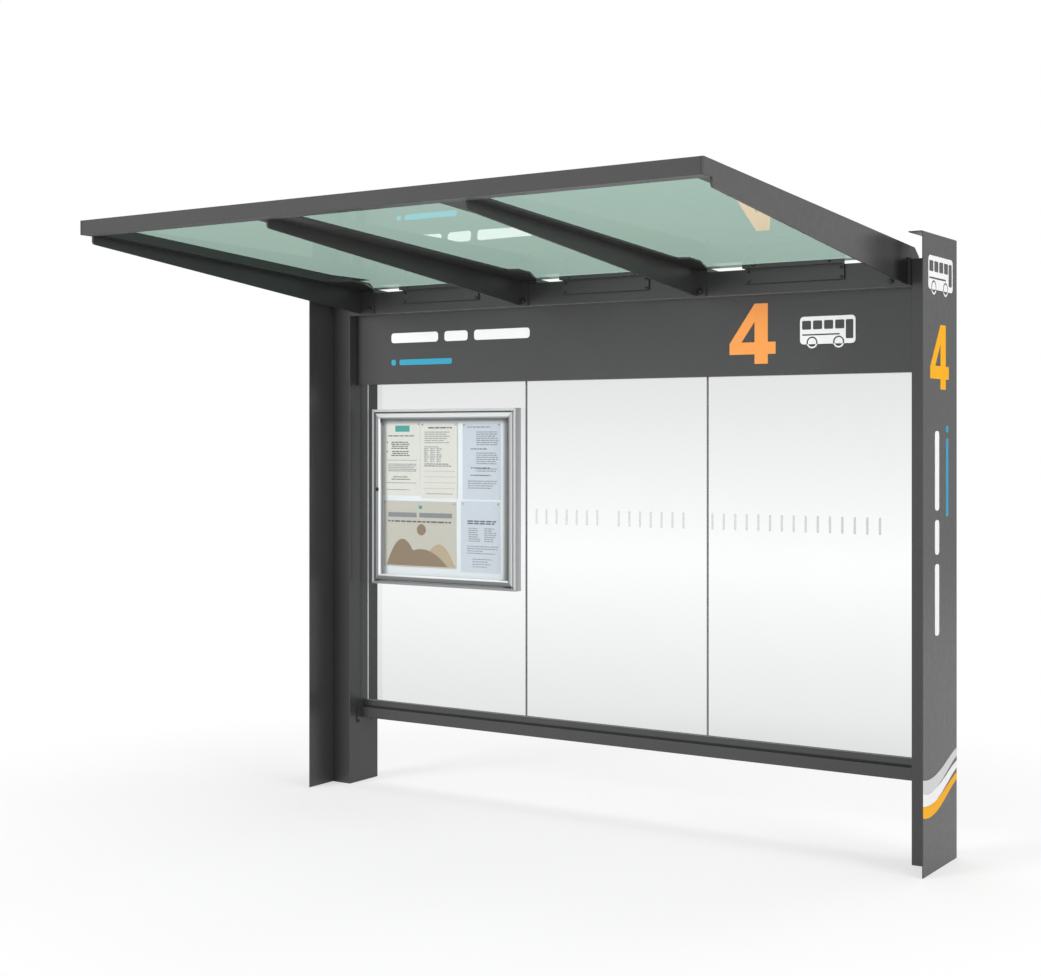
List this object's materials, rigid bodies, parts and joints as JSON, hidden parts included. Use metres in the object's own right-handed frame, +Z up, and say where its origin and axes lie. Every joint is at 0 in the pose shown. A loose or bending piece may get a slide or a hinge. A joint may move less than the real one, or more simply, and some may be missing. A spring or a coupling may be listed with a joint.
{
  "type": "bus shelter",
  "caption": "Open-fronted bus shelter with two posts, a cantilevered glass roof on tapered rafters, a glass back wall and a lockable notice showcase.",
  "frame": {"origin": "centre of the left post's foot, on the ground", "axes": "+X from the left post to the right post, -Y towards the road and the open front, +Z up"},
  "size_m": [2.968, 1.919, 2.4689],
  "materials": {
    "frame_paint": "satin powder coat, dark grey",
    "galvanised": "galvanised, dull",
    "clear_glass": "clear toughened, polished edges",
    "roof_glass": "pale green translucent laminated",
    "silver_aluminium": "satin anodised",
    "board_white": "satin white sheet steel",
    "door_glass": "clear toughened",
    "pin_steel": "turned",
    "lock_black": "black",
    "bolt_dark": "satin, dark",
    "seal_rubber": "matt black",
    "film_white": "cut vinyl, white",
    "film_colour": "cut vinyl, orange, yellow and blue",
    "notice_paper": "matt"
  },
  "bodies": {
    "shelter": {"left_foot_plate": "galvanised", "right_foot_plate": "galvanised", "left_post": "frame_paint", "right_post": "frame_paint", "left_post_cap": "frame_paint", "right_post_cap": "frame_paint", "left_side_plate": "frame_paint", "right_side_plate": "frame_paint", "top_beam": "frame_paint", "sign_panel": "frame_paint", "left_rail_bracket": "frame_paint", "right_rail_bracket": "frame_paint", "bottom_rail": "frame_paint", "sill_channel": "frame_paint", "head_channel": "frame_paint", "wall_glass_left": "clear_glass", "wall_glass_middle": "clear_glass", "wall_glass_right": "clear_glass", "left_end_rafter": "frame_paint", "right_end_rafter": "frame_paint", "left_inner_rafter": "frame_paint", "right_inner_rafter": "frame_paint", "front_fascia": "frame_paint", "roof_glass_left": "roof_glass", "roof_glass_middle": "roof_glass", "roof_glass_right": "roof_glass", "glass_bracket_left": "frame_paint", "glass_bracket_middle": "frame_paint", "glass_bracket_right": "frame_paint", "showcase_case": "silver_aluminium", "showcase_board": "board_white", "showcase_hinge_pins": "pin_steel"},
    "showcase_door": {"showcase_door_frame": "silver_aluminium", "showcase_door_pane": "door_glass", "showcase_lock": "lock_black"}
  },
  "joints": [
    {"name": "showcase_door_hinge", "type": "hinge", "parent": "shelter", "child": "showcase_door", "pos_m": [0.9265, -0.038, 1.357], "axis": [0, 0, 1], "range_deg": [0, 100]}
  ]
}
